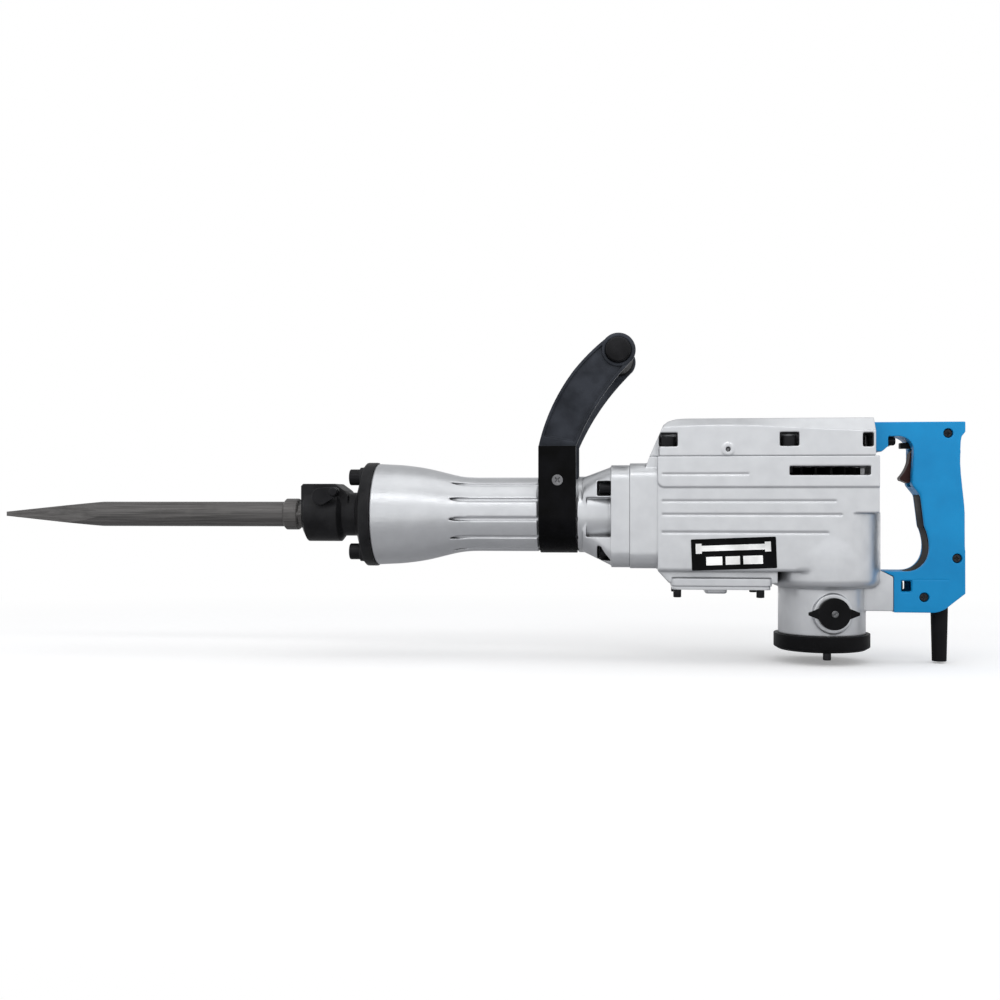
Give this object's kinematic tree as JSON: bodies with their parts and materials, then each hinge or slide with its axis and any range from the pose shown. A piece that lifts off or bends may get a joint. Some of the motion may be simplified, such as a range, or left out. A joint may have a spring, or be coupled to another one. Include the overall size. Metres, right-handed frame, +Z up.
{
  "type": "electric demolition hammer",
  "caption": "Electric jackhammer: point chisel, fluted hammer barrel, gear and motor housing, swivelling side handle and rear grip with trigger.",
  "frame": {"origin": "on the hammer axis, in the mouth of the tool socket, where the chisel's hex shank goes in", "axes": "+X along the hammer axis from the chisel towards the rear handle, +Z up, away from the motor barrel, and +Y the tool's right-hand side seen by the person holding it"},
  "size_m": [1.0847, 0.1426, 0.353],
  "materials": {
    "tool_steel": "dark forged steel, collar and flats worn bright",
    "machined_steel": "ground and lightly oiled",
    "gear_steel": "case-hardened, oiled",
    "black_bolt_steel": "black oxide",
    "black_casting": "black enamel over a cast surface",
    "cast_aluminium": "silver lacquer over a fine cast surface",
    "turned_aluminium": "turned, silver lacquer",
    "black_strap": "gloss black enamel",
    "black_arm": "satin black powder coat",
    "black_rubber": "matt moulded rubber",
    "seal_rubber": "oiled nitrile rubber",
    "blue_plastic": "glass-filled nylon, light moulded grain",
    "black_plastic": "moulded, satin",
    "trigger_plastic": "dark moulded plastic",
    "plate": "gloss black plate with pale printed bars",
    "electrical_steel": "stacked laminations",
    "copper_winding": "lacquered copper wire",
    "commutator_copper": "turned copper bars",
    "fan_plastic": "moulded",
    "holder_brass": "drawn",
    "carbon": "pressed graphite",
    "screw_steel": "black phosphate, worn heads"
  },
  "bodies": {
    "housing": {"front_cover": "black_casting", "front_cover_bolts": "black_bolt_steel", "dust_seal": "seal_rubber", "hex_sleeve": "machined_steel", "impact_bolt_sleeve": "machined_steel", "damper_ring": "seal_rubber", "cylinder_liner": "machined_steel", "gear_bearings": "machined_steel", "motor_bearings": "machined_steel", "cylinder_case": "cast_aluminium", "cylinder_case_bolts": "black_bolt_steel", "main_housing": "cast_aluminium", "bearing_plate": "turned_aluminium", "gear_cover": "cast_aluminium", "gear_cover_bolts": "black_bolt_steel", "bottom_cover": "cast_aluminium", "bottom_cover_bolts": "black_bolt_steel", "nameplate": "plate", "stator_core": "electrical_steel", "stator_windings": "copper_winding", "brush_holders": "holder_brass", "carbon_brushes": "carbon", "brush_springs": "machined_steel", "brush_caps": "black_plastic", "brush_cap_screws": "screw_steel", "tail_cover": "black_plastic", "tail_cover_screws": "screw_steel", "handle_shell_left": "blue_plastic", "handle_shell_right": "blue_plastic", "grip_pad": "black_rubber", "handle_screws": "screw_steel", "handle_bolts": "black_bolt_steel", "switch_body": "black_plastic", "cord_guard": "black_rubber", "cord_clamp": "black_plastic"},
    "chisel": {"point_chisel": "tool_steel"},
    "stop_lever": {"stop_lever": "black_bolt_steel"},
    "impact_bolt": {"impact_bolt": "machined_steel"},
    "striker": {"striker": "machined_steel", "striker_o_rings": "seal_rubber"},
    "piston": {"piston": "turned_aluminium", "piston_ring": "seal_rubber", "piston_pin": "machined_steel"},
    "rod": {"connecting_rod": "gear_steel"},
    "armature": {"armature_shaft": "machined_steel", "armature_core": "electrical_steel", "armature_windings": "copper_winding", "commutator": "commutator_copper", "fan": "fan_plastic"},
    "middle_gear": {"middle_shaft": "gear_steel", "middle_gear": "gear_steel"},
    "crank": {"crankshaft": "gear_steel", "final_gear": "gear_steel"},
    "trigger": {"trigger": "trigger_plastic"},
    "lock_button": {"lock_button": "black_plastic"},
    "side_handle": {"side_handle_strap": "black_strap", "side_handle_arms": "black_arm", "side_handle_screws": "screw_steel"},
    "side_grip": {"side_handle_grip": "black_rubber", "side_handle_bolt": "black_bolt_steel"}
  },
  "joints": [
    {"name": "chisel_slide", "type": "slide", "parent": "housing", "child": "chisel", "axis": [1, 0, 0], "range_m": [-0.012, 0.005]},
    {"name": "stop_lever_turn", "type": "hinge", "parent": "housing", "child": "stop_lever", "pos_m": [0.0258, 0, 0.0202], "axis": [0, 1, 0], "range_deg": [0, 180]},
    {"name": "impact_bolt_slide", "type": "slide", "parent": "housing", "child": "impact_bolt", "axis": [1, 0, 0], "range_m": [0, 0.01]},
    {"name": "striker_slide", "type": "slide", "parent": "housing", "child": "striker", "axis": [1, 0, 0], "range_m": [0, 0.04]},
    {"name": "piston_slide", "type": "slide", "parent": "housing", "child": "piston", "axis": [1, 0, 0], "range_m": [0, 0.032]},
    {"name": "rod_swing", "type": "hinge", "parent": "piston", "child": "rod", "pos_m": [0.333, 0, 0], "axis": [0, 0, 1], "range_deg": [-7.1, 7.1]},
    {"name": "armature_spin", "type": "hinge", "parent": "housing", "child": "armature", "pos_m": [0.578, 0, 0], "axis": [0, 0, 1], "continuous": true},
    {"name": "middle_gear_spin", "type": "hinge", "parent": "housing", "child": "middle_gear", "pos_m": [0.534, 0, 0], "axis": [0, 0, 1], "continuous": true},
    {"name": "crank_spin", "type": "hinge", "parent": "housing", "child": "crank", "pos_m": [0.479, 0, 0], "axis": [0, 0, 1], "continuous": true},
    {"name": "trigger_squeeze", "type": "hinge", "parent": "housing", "child": "trigger", "pos_m": [0.677, 0, 0.067], "axis": [0, -1, 0], "range_deg": [0, 10], "stiffness_Nm_per_rad": 2, "springref_deg": -9.74},
    {"name": "lock_button_press", "type": "slide", "parent": "housing", "child": "lock_button", "axis": [1, 0, 0], "range_m": [0, 0.004], "stiffness_N_per_m": 400, "springref_m": -0.004},
    {"name": "side_handle_turn", "type": "hinge", "parent": "housing", "child": "side_handle", "pos_m": [0.2905, 0, 0], "axis": [1, 0, 0], "continuous": true},
    {"name": "side_grip_turn", "type": "hinge", "parent": "side_handle", "child": "side_grip", "pos_m": [0.357, 0, 0.176], "axis": [0, 1, 0], "continuous": true}
  ],
  "couplings": [
    {"joint": "middle_gear_spin", "follows": "armature_spin", "ratio": -0.25714},
    {"joint": "crank_spin", "follows": "armature_spin", "ratio": 0.085714}
  ]
}
